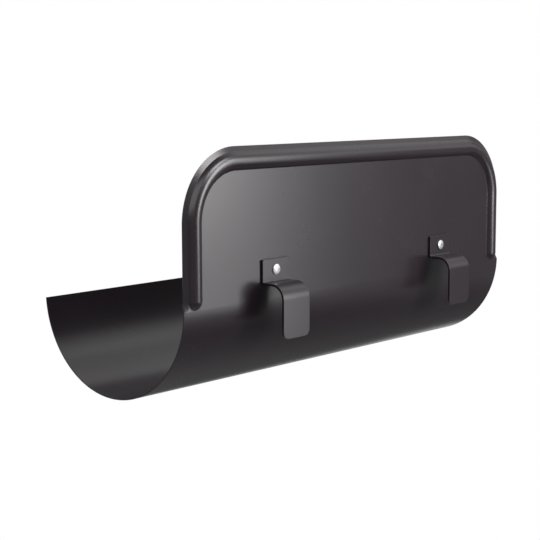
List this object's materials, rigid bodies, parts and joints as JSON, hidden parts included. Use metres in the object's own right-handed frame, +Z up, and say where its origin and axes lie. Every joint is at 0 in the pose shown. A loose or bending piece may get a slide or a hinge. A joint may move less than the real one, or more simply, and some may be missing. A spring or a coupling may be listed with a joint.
{
  "type": "gutter overflow guard",
  "caption": "Half-round gutter trough section rising into a tall splash panel with rounded corners and a pressed edge bead, hung on the gutter's front edge by riveted strip hooks.",
  "frame": {"origin": "middle of the trough's axis, half way along its length", "axes": "+X along the gutter, +Y from the splash panel towards the roof, +Z up"},
  "size_m": [0.341, 0.1422, 0.1553],
  "materials": {
    "coated_sheet": "dark brown-black semi-matte coil coating",
    "coated_strip": "dark brown-black semi-matte coating",
    "rivet_aluminium": "bare, lightly satin",
    "mandrel_steel": "plain broken steel"
  },
  "bodies": {
    "root": {"guard_shell": "coated_sheet", "hook_left": "coated_strip", "hook_right": "coated_strip", "rivet_bodies": "rivet_aluminium", "rivet_mandrels": "mandrel_steel"}
  },
  "joints": []
}
